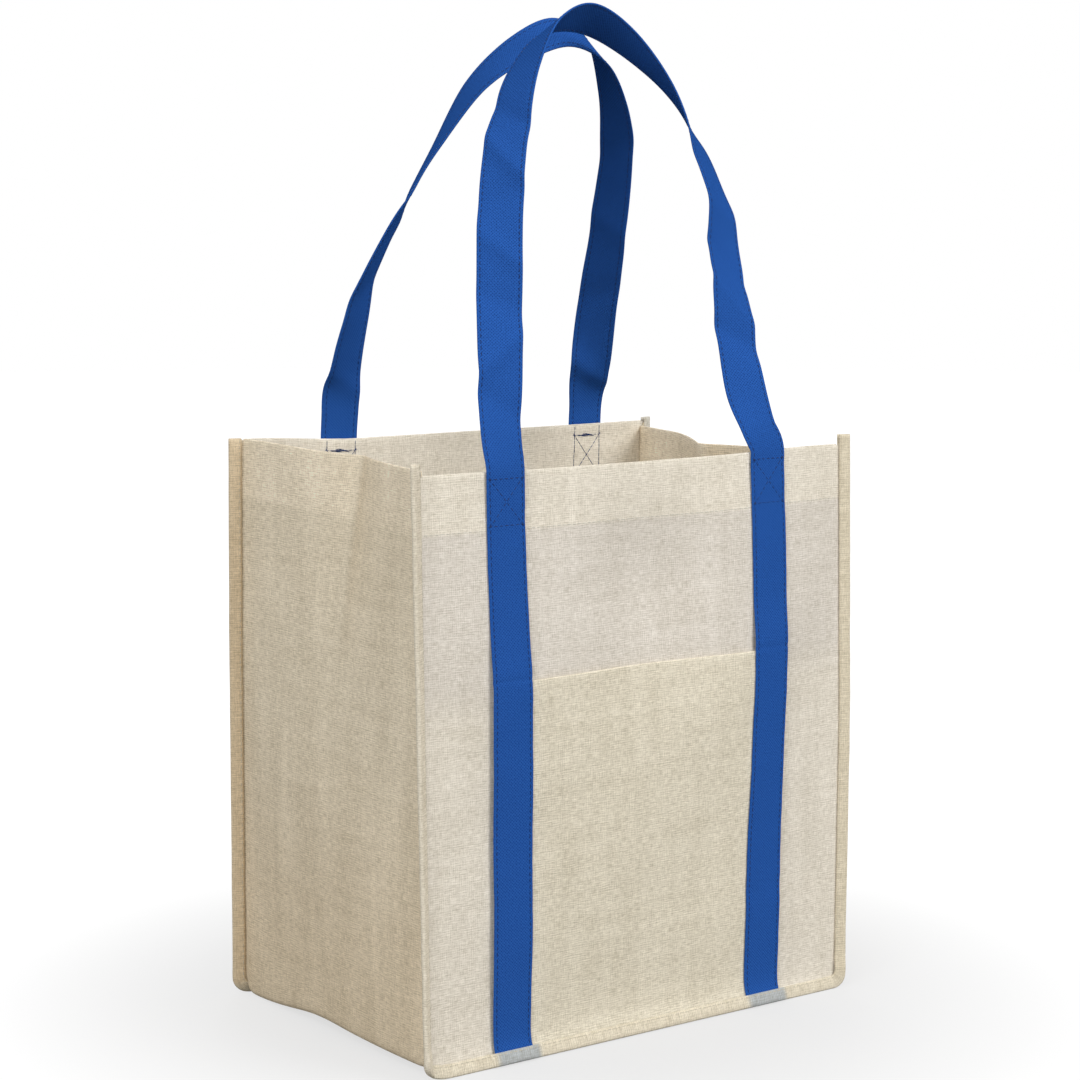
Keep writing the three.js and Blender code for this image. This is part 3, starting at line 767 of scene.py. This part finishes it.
def make_pocket():
    """The pocket with its turned-in hem. Its right edge follows the slanted strap."""
    across = spaced(-POCKET_HALF, POCKET_HALF, CELL)
    up = spaced(-STRAP_TUCK * math.cos(FLANGE_TILT), POCKET_MOUTH, CELL)
    down = spaced(0, POCKET_HEM, CELL)[1:]
    x, v = np.meshgrid(across, up)
    x = x + (run_x("front", 1, v) - STRAP_X["front"][1]) * smoothstep(0, POCKET_HALF, x)
    bow = POCKET_BOW * np.cos(math.pi * across / (2 * POCKET_HALF)) * smoothstep(0.12, POCKET_MOUTH, v)
    outer = on_panel("front", x, v + bow, pocket_out(v))
    hem_x, hem_down = np.meshgrid(across, down)
    hem = on_panel("front", hem_x, POCKET_MOUTH - hem_down + bow[-1], LAYER * 1.05)
    points = hemmed("front", outer, hem)
    length = hemmed_lengths(up, down)
    pocket = make_sheet("pocket_cloth", points, across + 0.5, length, [pocket_cloth, lining_cloth])
    cloth_solid(pocket, CLOTH, 1)
    return pocket


# Straps

def between(a, b, t_a, t_b, t):
    return ((t_b - t) * a + (t - t_a) * b) / (t_b - t_a)


def catmull(points, per_span):
    """A centripetal Catmull-Rom curve, with the extra columns carried along."""
    p = np.array(points, float)
    ends = np.vstack([2 * p[0] - p[1], p, 2 * p[-1] - p[-2]])
    out = []
    for i in range(1, len(ends) - 2):
        a, b, c, d = ends[i - 1:i + 3]
        gaps = [np.linalg.norm((q - r)[:3]) ** 0.5 for q, r in ((b, a), (c, b), (d, c))]
        t0, t1, t2, t3 = np.concatenate([[0], np.cumsum(gaps)])
        for t in np.linspace(t1, t2, per_span, endpoint=False):
            a1 = between(a, b, t0, t1, t)
            a2 = between(b, c, t1, t2, t)
            a3 = between(c, d, t2, t3, t)
            b1 = between(a1, a2, t0, t2, t)
            b2 = between(a2, a3, t1, t3, t)
            out.append(between(b1, b2, t1, t2, t))
    out.append(p[-1])
    return np.array(out)


def strap_out(side, v):
    """How far the middle of a strap stands off its panel."""
    lift = STRAP_LIFT * smoothstep(HEIGHT - 0.035, HEIGHT - 0.015, v)
    bare = CLOTH / 2 + STRAP / 2 + STRAP_GAP + lift
    if side == "back":
        return bare
    step = 1 - smoothstep(POCKET_MOUTH, POCKET_MOUTH + 0.036, v)
    crease = MOUTH_CREASE * bell(v, POCKET_MOUTH + 0.0025, 0.0016)
    return bare + step * pocket_out(np.minimum(v, POCKET_MOUTH)) - crease


class StrapRoute:
    """The middle of a strap with its width and face directions, from end to end."""

    def __init__(self, side):
        self.side = side
        turn = 180 * SIDE[side]
        low, high = POCKET_MOUTH - 0.004, POCKET_MOUTH + 0.010
        heights = np.concatenate([
            spaced(-STRAP_TUCK, 0.012, 0.0012), spaced(0.012, low, STRAP_CELL)[1:],
            spaced(low, high, 0.0009)[1:], spaced(high, LOOP_START, STRAP_CELL)[1:-1]])
        anchors = [(*self.run(0, v), 0, 0) for v in LOOP_ENDS]
        anchors += LOOPS[side]
        anchors += [(*self.run(1, v), turn, 0) for v in LOOP_ENDS[::-1]]
        loop = catmull(anchors, LOOP_SAMPLES)
        lengths = lengths_along(loop[:, :3])
        even = np.linspace(0, lengths[-1], int(lengths[-1] / STRAP_CELL))
        loop = np.stack([np.interp(even, lengths, column) for column in loop.T], 1)
        up = np.array([self.run(0, v) for v in heights])
        down = np.array([self.run(1, v) for v in heights[::-1]])
        middle = np.concatenate([up, loop[:, :3], down])
        still = np.zeros(len(heights))
        angle = np.radians(np.concatenate([still, loop[:, 3], still + turn]))
        tilt = np.radians(np.concatenate([still, loop[:, 4], still]))
        self.is_run = np.concatenate([still + 1, 0 * even, still + 1]) > 0.5
        self.run_v = np.concatenate([heights, 0 * even, heights[::-1]])
        tangent = np.gradient(middle, axis=0)
        tangent /= np.linalg.norm(tangent, axis=1)[:, None]
        width = np.stack([np.cos(angle) * np.cos(tilt), np.sin(angle) * np.cos(tilt), np.sin(tilt)], 1)
        width -= (width * tangent).sum(1)[:, None] * tangent
        self.width = width / np.linalg.norm(width, axis=1)[:, None]
        face = np.cross(self.width, tangent)
        self.face = face * np.sign(face[0, 1] * SIDE[side])
        self.along = lengths_along(middle)
        from_start = self.along - self.along[len(up)]
        to_end = self.along[len(up) + len(loop) - 1] - self.along
        self.loose = smoothstep(0, 0.05, np.minimum(from_start, to_end))
        size, length = STRAP_SWAY
        sway = size * waves(self.along, 0 * self.along, 0 * self.along, length, 21 + SIDE[side])
        self.middle = middle + self.face * (sway * self.loose)[:, None]
        self.top = int(np.argmax(self.middle[:, 2]))
        self.creases = []
        for leg, height, size, slant, run in CREASES[side]:
            rows = slice(self.top, None) if leg else slice(0, self.top)
            near = int(np.argmin(np.abs(self.middle[rows, 2] - height))) + (self.top if leg else 0)
            self.creases.append((self.along[near], size, slant, run))

    def run(self, leg, v):
        return on_panel(self.side, run_x(self.side, leg, v), v, strap_out(self.side, np.asarray(v, float)))

    def spot(self, leg, across, v, out):
        """One point of the strap at a height of one of its two legs."""
        points = self.at(across, out)
        rows = points[self.top:][::-1] if leg else points[:self.top]
        return [np.interp(FOOT + v, rows[:, 2], rows[:, k]) for k in range(3)]

    def at(self, across, out):
        """Points along the whole strap at one place across its width."""
        x_shift = self.width * across
        fold = 0 * self.along
        for place, size, slant, run in self.creases:
            fold = fold + size / np.cosh((self.along - place + slant * across) / run)
        points = self.middle + x_shift + self.face * (out + fold * self.loose)[:, None]
        flat = panel_reach(self.side, self.middle[:, 0] + x_shift[:, 0], self.run_v)
        level = panel_reach(self.side, self.middle[:, 0], self.run_v)
        points[:, 1] += np.where(self.is_run, SIDE[self.side] * (flat - level), 0)
        return points


def make_strap(route):
    """A folded strap with round edges, and a groove where each row of stitches pulls it in."""
    half = STRAP_WIDTH / 2
    thick = STRAP / 2
    row = EDGE_STITCH[route.side]
    flat = np.concatenate([
        np.linspace(-half + thick, -row - GROOVE_HALF, 3), [-row],
        np.linspace(-row + GROOVE_HALF, row - GROOVE_HALF, 9), [row],
        np.linspace(row + GROOVE_HALF, half - thick, 3)])
    groove = 1 - GROOVE_DEPTH * bell(np.abs(flat), row, 0.0006)
    arc = np.linspace(0, math.pi, 6)[1:-1]
    ring = [(w, thick * g) for w, g in zip(flat, groove)]
    ring += [(half - thick + thick * math.sin(a), thick * math.cos(a)) for a in arc]
    ring += [(-w, -n) for w, n in ring]
    points = np.stack([route.at(w, n) for w, n in ring], 1)
    across = [w if n >= 0 else STRAP_WIDTH * 1.5 - w for w, n in ring]
    turned = np.linalg.det([route.width[0], route.face[0], route.middle[1] - route.middle[0]]) > 0
    return make_sheet(route.side + "_strap_cloth", points, across, route.along, [strap_cloth],
                      wrap=True, flip=turned)


# Bindings

def rise(distance, half):
    """1 over a layer of half a width, and 0 a little beside it."""
    return 1 - smoothstep(half + 0.0007, half + 0.0047, distance)


def tape_stops(side):
    """Stops of the tape along its seam, past both top ends."""
    return seam_path(TAPE_CELL, TAPE_TURNS, *TAPE_TOP[side])


def beside_seam(side, stops, s, n):
    """Points beside a seam: s out along the flange, n towards the inside of the bag."""
    cos, sin = math.cos(FLANGE_TILT), math.sin(FLANGE_TILT)
    v = stops[:, 1]
    y = SIDE[side] * (DEPTH / 2 - LEAN * np.clip(v, 0, None) / HEIGHT + flare(0.0) / 2 + s * sin - n * cos)
    in_plane = (s * cos + n * sin) * (1 + CORNER_REACH * (2 * stops[:, 2] * stops[:, 3]) ** 2)
    z = FOOT + v + stops[:, 3] * in_plane + corner_lift(side, stops[:, 0], v)
    return np.stack([stops[:, 0] + stops[:, 2] * in_plane, y, z], -1)


def tape_outside(side, stops):
    """How far the outer layer of the tape lies in front of the seam, and where a strap is under it."""
    x = stops[:, 0]
    bottom = stops[:, 3] < -0.999
    beside = [rise(np.abs(x - run_x(side, leg, 0)), STRAP_WIDTH / 2) for leg in (0, 1)]
    strap = np.max(beside, axis=0) * bottom
    under = 0 * x
    if side == "front":
        under = np.maximum(rise(np.abs(x), POCKET_HALF) * bottom, strap)
    return -(CLOTH / 2 + TAPE / 2 + TAPE_GAP) - LAYER * under - (STRAP + TAPE_GAP) * strap, strap


def tape_profile(outer):
    """The tape's cross-section from its outer edge round the seam to its inner edge."""
    end = FLANGE + TAPE_GAP
    legs = np.linspace(TAPE_START, end, 6)
    puff = TAPE_PUFF * np.sqrt(np.abs(np.sin(math.pi * (legs - TAPE_START) / (end - TAPE_START))))
    centre = (outer + TAPE_INSIDE) / 2
    half = (TAPE_INSIDE - outer) / 2
    nose = np.linspace(0, math.pi, 8)[1:-1]
    profile = [(s, outer - p) for s, p in zip(legs, puff)]
    profile += [(end + TAPE_NOSE * math.sin(a), centre - half * math.cos(a)) for a in nose]
    profile += [(s, TAPE_INSIDE + p) for s, p in zip(legs[::-1], puff[::-1])]
    return profile


def corner_pleat(stops):
    """The tape is folded over itself at each bottom corner, so its outer layer steps up there."""
    along = lengths_along(stops[:, :2])
    pleat = np.zeros(len(stops))
    for way in (-1, 1):
        corner = along[np.argmax(-way * stops[:, 2] * stops[:, 3])]
        past = way * (along - corner)
        pleat += PLEAT * smoothstep(-0.0006, 0.0006, past) * (1 - smoothstep(0.003, 0.011, past))
    return pleat


def make_binding(side):
    """The tape round one seam, with masks for the tones of its parts and for a painted highlight on its
    folded edge.
    """
    stops = tape_stops(side)
    outer, strap = tape_outside(side, stops)
    outer = outer - corner_pleat(stops) - TAPE_LOOSE * smoothstep(0.6, 1.0, stops[:, 2])
    points = np.stack([beside_seam(side, stops, s, n) for s, n in tape_profile(outer)], 1)
    count = points.shape[1]
    middle = points[:, count // 2]
    size, length = TAPE_WOBBLE
    wobble = size * waves(middle[:, 0], 3.0, middle[:, 2], length, 31 + SIDE[side])
    points[:, :, 1] += SIDE[side] * (wobble * (stops[:, 3] > -0.5))[:, None]
    around = np.linspace(0, TAPE_PRINT, count)
    along = lengths_along(middle) + 0.7
    cloth = tape_cloth if side == "front" else back_tape_cloth
    tape = make_sheet(side + "_binding_tape", points, around, along, [cloth], flip=side == "back")
    shifted = np.interp(stops[:, 0] - TUCK_SHIFT, stops[:, 0], strap ** 3, left=0, right=0)
    point_mask(tape, "tucked", np.outer(shifted * (stops[:, 3] < -0.999), np.arange(count) < 9))
    # Painted highlight: a lighter line along the folded outer edge of the tape on both upright seams.
    nose = bell(np.arange(count), (count - 1) / 2, 1.3)
    point_mask(tape, "edge", np.outer(0.8 * (np.abs(stops[:, 2]) > 0.5), nose))
    for name, toward in (("left", -stops[:, 2]), ("right", stops[:, 2]), ("foot", -stops[:, 3])):
        point_mask(tape, name, np.repeat(smoothstep(0.3, 0.9, toward), count))
    cloth_solid(tape, TAPE, 0)
    return tape


# Stitches

def stitch_tree():
    """Lays elongated stitches along every line of a mesh."""
    tree, start, end = new_group(
        "running_stitch",
        [("Geometry", "NodeSocketGeometry", None), ("Pitch", "NodeSocketFloat", STITCH_PITCH),
         ("Length", "NodeSocketFloat", STITCH_LENGTH), ("Thread", "NodeSocketFloat", THREAD),
         ("Seed", "NodeSocketInt", 3), ("Material", "NodeSocketMaterial", None)],
        [("Geometry", "NodeSocketGeometry")], "GeometryNodeTree")
    curve = add_node(tree, "GeometryNodeMeshToCurve", {"Mesh": start["Geometry"]}).outputs[0]
    stops = add_node(tree, "GeometryNodeCurveToPoints", {"Curve": curve, "Length": start["Pitch"]},
                     mode="LENGTH")
    ball = add_node(tree, "GeometryNodeMeshUVSphere", {"Segments": 6, "Rings": 5, "Radius": 1.0})
    half = math_node(tree, "MULTIPLY", start["Length"], 0.5)
    vary = add_node(tree, "FunctionNodeRandomValue", {"Seed": start["Seed"], 2: 0.85, 3: 1.1},
                    data_type="FLOAT")
    length = math_node(tree, "MULTIPLY", half, vary.outputs[1])
    size = add_node(tree, "ShaderNodeCombineXYZ", {0: start["Thread"], 1: start["Thread"], 2: length})
    laid = add_node(tree, "GeometryNodeInstanceOnPoints",
                    {"Points": stops.outputs["Points"], "Instance": ball.outputs["Mesh"],
                     "Rotation": stops.outputs["Rotation"], "Scale": size.outputs[0]})
    real = add_node(tree, "GeometryNodeRealizeInstances", {0: laid.outputs[0]})
    smooth = add_node(tree, "GeometryNodeSetShadeSmooth", {0: real.outputs[0]}).outputs[0]
    painted = add_node(tree, "GeometryNodeSetMaterial", {"Geometry": smooth, "Material": start["Material"]})
    tree.links.new(painted.outputs[0], end[0])
    return tree


STITCHES = stitch_tree()


def sew(name, lines, material, pitch=STITCH_PITCH, length=STITCH_LENGTH, thread=THREAD, seed=3):
    """Stitches along a list of lines as one plain mesh."""
    points, edges = [], []
    for line in lines:
        first = len(points)
        points += [tuple(p) for p in settle(line)]
        edges += [(first + i, first + i + 1) for i in range(len(line) - 1)]
    mesh = bpy.data.meshes.new(name + "_lines")
    mesh.from_pydata(points, edges, [])
    guide = new_object(name + "_lines", mesh)
    modifier = guide.modifiers.new("stitches", "NODES")
    modifier.node_group = STITCHES
    values = {"Pitch": pitch, "Length": length, "Thread": thread, "Seed": seed, "Material": material}
    for item in STITCHES.interface.items_tree:
        if item.in_out == "INPUT" and item.name in values:
            modifier[item.identifier] = values[item.name]
    ready = guide.evaluated_get(bpy.context.evaluated_depsgraph_get())
    result = bpy.data.meshes.new_from_object(ready)
    result.name = name
    bpy.data.objects.remove(guide)
    return new_object(name, result)


def inner_face(v):
    """Depth of the innermost cloth face behind a panel's middle, counting the hem."""
    return -(CLOTH / 2 + THREAD_RISE + LAYER * smoothstep(HEIGHT - HEM - 0.0005, HEIGHT - HEM, v))


def box_lines(side, x):
    """Two rows across a strap at its top, and a cross between them."""
    top = HEIGHT - BOX_TOP
    foot = top - BOX_HEIGHT
    e = EDGE_STITCH[side]
    t = np.linspace(0, 1, 16)
    heights = ((top, top), (foot, foot), (foot, top), (top, foot))
    return [(x - e + 2 * e * t, left + (right - left) * t) for left, right in heights]


def strap_stitch_lines(route):
    """Rows of stitches along both edges of a strap, on both faces, and the crossed boxes."""
    side = route.side
    lines = []
    groove = STRAP / 2 * GROOVE_LEVEL
    shown = ~(route.is_run & (route.run_v < 0.0015))
    for across in (-EDGE_STITCH[side], EDGE_STITCH[side]):
        lines.append(route.at(across, groove)[shown])
        lines.append(route.at(across, -groove)[~route.is_run])
    for leg in (0, 1):
        x = STRAP_X[side][leg]
        sign = -1 if leg else 1
        for row, (bx, bv) in enumerate(box_lines(side, x)):
            height = STRAP / 2 - (0 if row == 0 else SUNK)
            lines.append([route.spot(leg, sign * (w - x), v, height) for w, v in zip(bx, bv)])
    return lines


def inner_stitch_lines(side):
    """The rows of a strap and its crossed boxes as they show inside the bag."""
    lines = []
    for leg in (0, 1):
        v = spaced(0.004, HEIGHT - 0.002, 0.002)
        for across in (-EDGE_STITCH[side], EDGE_STITCH[side]):
            lines.append(on_panel(side, run_x(side, leg, v) + across, v, inner_face(v)))
        for bx, bv in box_lines(side, STRAP_X[side][leg]):
            lines.append(on_panel(side, bx, bv, inner_face(bv)))
    return lines


def back_tack_lines(side):
    """The thread heaped up on the inside where each box was started and ended."""
    lines = []
    for x in STRAP_X[side]:
        for k in range(4):
            t = np.linspace(-0.006 + 0.001 * k, 0.005 - 0.0012 * k, 8)
            v = HEIGHT - BOX_TOP + 0.0004 * (k - 1.5) + 0.00025 * np.sin(t * 900 + k)
            lines.append(on_panel(side, x + t, v, inner_face(v) - THREAD_RISE * (k % 2)))
    return lines


def binding_stitch_lines(side):
    """The row along the tape, on both of its faces."""
    stops = tape_stops(side)
    stops = stops[stops[:, 1] < HEIGHT + min(TAPE_TOP[side])]
    outer, _ = tape_outside(side, stops)
    lift = TAPE / 2 + THREAD_RISE
    faces = (outer - lift, TAPE_INSIDE + lift)
    return [beside_seam(side, stops, TAPE_START + SEAM_STITCH, face) for face in faces]


def hem_stitch_lines():
    """The row that holds the top hem, on both panels."""
    lines = []
    level = HEIGHT - HEM + 0.002
    for side in ("front", "back"):
        x = spaced(-WIDTH / 2 + 0.003, WIDTH / 2 - 0.003, 0.003)
        v = np.full_like(x, level)
        lines.append(on_panel(side, x, v, CLOTH / 2))
        lines.append(on_panel(side, x, v, -(CLOTH / 2 + LAYER)))
    return lines


# Assembly

front_panel = make_panel("front")
back_panel = make_panel("back")
gusset = make_gusset()
pocket = make_pocket()
routes = {side: StrapRoute(side) for side in ("front", "back")}
front_strap = make_strap(routes["front"])
back_strap = make_strap(routes["back"])
front_binding = make_binding("front")
back_binding = make_binding("back")
front_strap_stitches = sew("front_strap_stitches", strap_stitch_lines(routes["front"]), navy_thread, seed=3)
back_strap_stitches = sew("back_strap_stitches", strap_stitch_lines(routes["back"]), navy_thread, seed=5)
inner_lines = inner_stitch_lines("front") + inner_stitch_lines("back")
inner_stitches = sew("inner_stitches", inner_lines, navy_thread,
                     pitch=0.0030, length=0.0034, thread=0.00020, seed=15)
tack_lines = back_tack_lines("front") + back_tack_lines("back")
back_tacks = sew("back_tacks", tack_lines, navy_thread,
                 pitch=0.0015, length=0.0022, thread=0.00022, seed=7)
front_binding_stitches = sew("front_binding_stitches", binding_stitch_lines("front"), tan_thread, seed=9)
back_binding_stitches = sew("back_binding_stitches", binding_stitch_lines("back"), tan_thread, seed=11)
hem_stitches = sew("hem_stitches", hem_stitch_lines(), beige_thread, seed=13)

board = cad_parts["base_board"]
board.data.materials.clear()
board.data.materials.append(stiff_board)

for piece, node, slot in (
        (front_panel, "front_panel", "cloth"), (back_panel, "back_panel", "cloth"),
        (gusset, "gusset_strip", "cloth"), (pocket, "front_pocket", "cloth"),
        (front_binding, "front_binding", "binding_tape"), (back_binding, "back_binding", "binding_tape"),
        (front_strap, "front_strap", "strap"), (back_strap, "back_strap", "strap")):
    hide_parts(node)
    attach(piece, "root")
for piece, slot in (
        (front_strap_stitches, "strap"), (back_strap_stitches, "strap"),
        (back_tacks, "strap"), (inner_stitches, "strap"),
        (front_binding_stitches, "binding_tape"), (back_binding_stitches, "binding_tape"),
        (hem_stitches, "cloth")):
    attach(piece, "root")


# Stage

def seen_directly(tree):
    """1 where the camera looks at a thing, straight or by a mirror, and 0 for the light it gives."""
    path = add_node(tree, "ShaderNodeLightPath").outputs
    seen = math_node(tree, "MAXIMUM", path["Is Camera Ray"], path["Is Glossy Ray"])
    return math_node(tree, "MAXIMUM", seen, path["Is Transmission Ray"])


def make_floor():
    """A pale round floor that fades to white before its edge."""
    angles = np.linspace(0, 2 * math.pi, FLOOR_SIDES, endpoint=False)
    ring = [(FLOOR_RADIUS * math.cos(a), FLOOR_RADIUS * math.sin(a), 0.0) for a in angles]
    mesh = bpy.data.meshes.new("floor")
    mesh.from_pydata(ring, [], [tuple(range(FLOOR_SIDES))])
    material, tree, shader = blank_material("pale_floor", 0.9, 0.1)
    white = add_node(tree, "ShaderNodeEmission", {"Color": (1, 1, 1, 1), "Strength": 1.1})
    place = add_node(tree, "ShaderNodeTexCoord").outputs["Object"]
    far = add_node(tree, "ShaderNodeVectorMath", {0: place}, operation="LENGTH").outputs["Value"]
    fade = mapped(tree, far, 0.12, 0.46, 0.62, 1.0, "SMOOTHSTEP")
    tree.links.new(mapped(tree, far, 0.25, 0.70, 0.38, 0.16), shader.inputs["Base Color"])
    factor = math_node(tree, "MULTIPLY", fade, seen_directly(tree))
    mix = add_node(tree, "ShaderNodeMixShader", {0: factor, 1: shader.outputs[0], 2: white.outputs[0]})
    tree.links.new(mix.outputs[0], tree.nodes["Material Output"].inputs["Surface"])
    mesh.materials.append(material)
    new_object("floor", mesh)


def make_world():
    """Soft grey light all round, seen as white."""
    world = bpy.data.worlds.new("studio")
    bpy.context.scene.world = world
    world.use_nodes = True
    tree = world.node_tree
    light = tree.nodes["Background"]
    light.inputs["Color"].default_value = (1.0, 1.0, 1.0, 1)
    place = add_node(tree, "ShaderNodeTexCoord").outputs["Generated"]
    height = add_node(tree, "ShaderNodeSeparateXYZ", {0: place}).outputs["Z"]
    tree.links.new(mapped(tree, height, -0.2, 0.7, 0.05, 0.37), light.inputs["Strength"])
    white = add_node(tree, "ShaderNodeBackground", {"Color": (1, 1, 1, 1), "Strength": 1.0})
    seen = seen_directly(tree)
    mix = add_node(tree, "ShaderNodeMixShader", {0: seen, 1: light.outputs[0], 2: white.outputs[0]})
    tree.links.new(mix.outputs[0], tree.nodes["World Output"].inputs["Surface"])


def make_lamp(name, place, power):
    data = bpy.data.lights.new(name, "AREA")
    data.shape = "DISK"
    data.size = LAMP_SIZE
    data.energy = power
    lamp = new_object(name, data)
    lamp.location = place
    lamp.rotation_euler = (Vector(place) - Vector(LAMP_AIM)).to_track_quat("Z", "Y").to_euler()


def make_camera():
    sin_a, cos_a = math.sin(CAMERA_AZIMUTH), math.cos(CAMERA_AZIMUTH)
    sin_e, cos_e = math.sin(CAMERA_ELEVATION), math.cos(CAMERA_ELEVATION)
    back = Vector((sin_a * cos_e, -cos_a * cos_e, sin_e))
    right = Vector((cos_a, sin_a, 0))
    up = back.cross(right)
    aim = Vector((0, 0, CAMERA_AIM[1])) + right * CAMERA_AIM[0]
    data = bpy.data.cameras.new("camera")
    data.lens = CAMERA_LENS
    data.sensor_width = 36.0
    camera = new_object("camera", data)
    turn = Matrix((right, up, back)).transposed().to_4x4()
    camera.matrix_world = Matrix.Translation(aim + back * CAMERA_DISTANCE) @ turn
    bpy.context.scene.camera = camera


make_floor()
make_world()
for name, (place, power) in LAMPS.items():
    make_lamp(name, place, power)
make_camera()
bpy.context.scene.view_settings.view_transform = "Standard"
